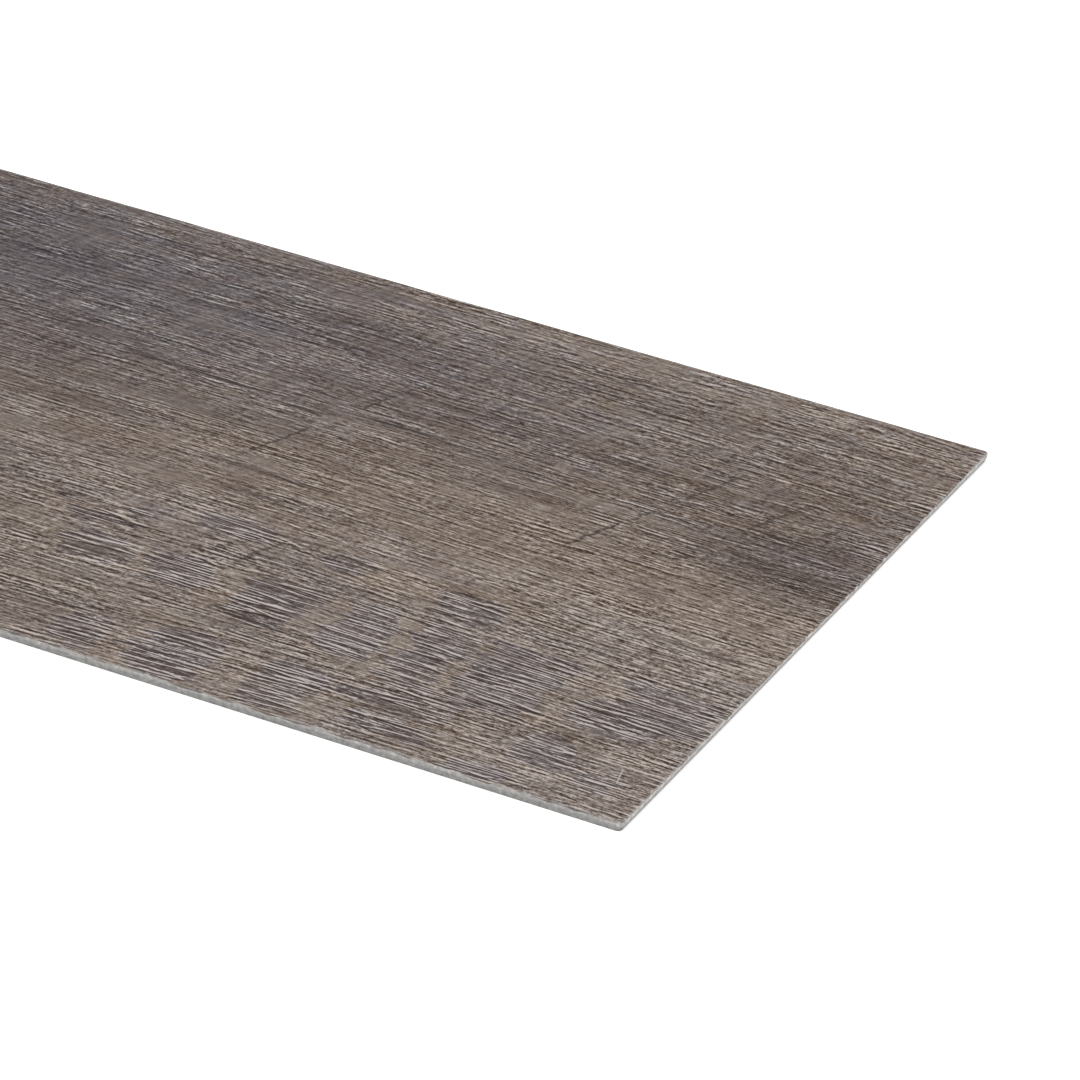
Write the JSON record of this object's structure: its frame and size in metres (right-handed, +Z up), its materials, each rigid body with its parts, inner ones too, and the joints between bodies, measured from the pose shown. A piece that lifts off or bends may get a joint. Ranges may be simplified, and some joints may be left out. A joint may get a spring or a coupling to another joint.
{
  "type": "vinyl floor plank",
  "caption": "Thin flat self-adhesive vinyl floor plank with an embossed grey-brown wood-grain face and plain butt edges that lean in under it.",
  "frame": {"origin": "middle of the underside, the face that is stuck to the floor", "axes": "+X along the plank and its grain, +Y across its width, +Z up out of the printed face"},
  "size_m": [0.9144, 0.1524, 0.002],
  "materials": {
    "vinyl": "hot-pressed filled PVC, printed with a grey-brown limed-oak grain under an embossed satin-matt wear layer"
  },
  "bodies": {
    "root": {"plank": "vinyl"}
  },
  "joints": []
}
